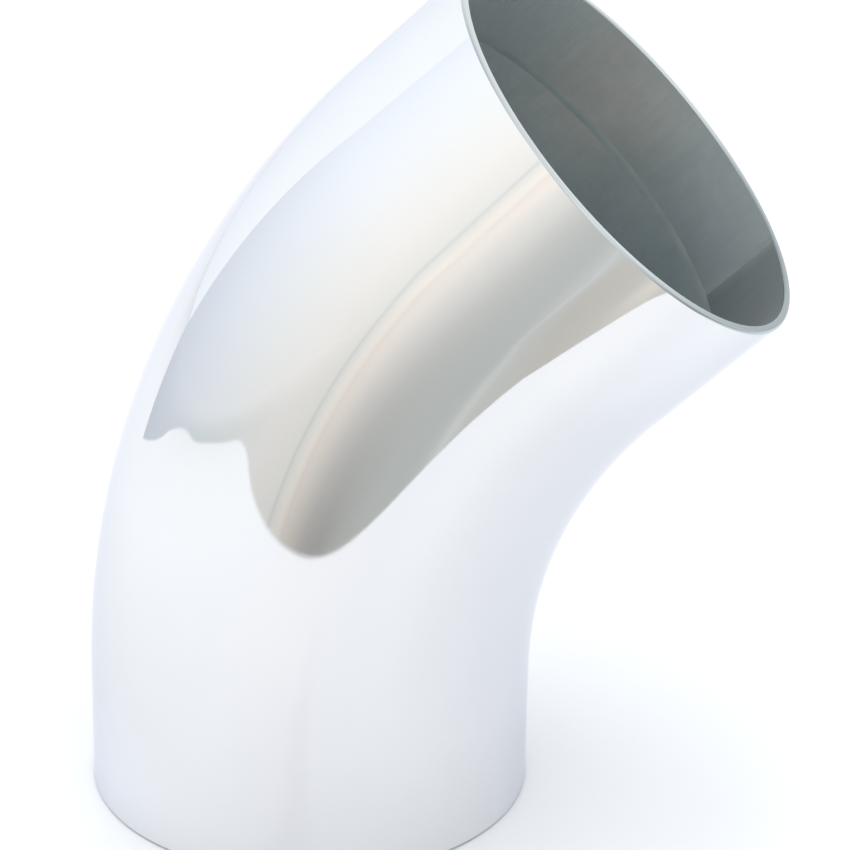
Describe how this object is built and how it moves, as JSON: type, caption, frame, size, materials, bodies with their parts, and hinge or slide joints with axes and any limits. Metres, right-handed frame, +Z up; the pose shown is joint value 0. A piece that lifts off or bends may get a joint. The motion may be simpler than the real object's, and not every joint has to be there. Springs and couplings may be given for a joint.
{
  "type": "flue elbow",
  "caption": "Smooth-radius 45 degree flue elbow in mirror-polished stainless steel, with welded pressed half shells and a plain square-cut collar at each end.",
  "frame": {"origin": "centre of the lower end's face, on the axis of the tube", "axes": "+Z up the straight lower end, +X towards the throat side, so that the upper end faces along the middle of +X and +Z; Y=0 is the plane of the bend"},
  "size_m": [0.1562, 0.1016, 0.1969],
  "materials": {
    "polished_stainless": "polished",
    "weld_stainless": "satin"
  },
  "bodies": {
    "root": {"left_half_shell": "polished_stainless", "right_half_shell": "polished_stainless", "back_seam_weld": "weld_stainless", "throat_seam_weld": "weld_stainless", "upper_collar": "polished_stainless", "upper_collar_seam_weld": "weld_stainless", "upper_girth_weld": "weld_stainless", "lower_collar": "polished_stainless", "lower_collar_seam_weld": "weld_stainless", "lower_girth_weld": "weld_stainless"}
  },
  "joints": []
}
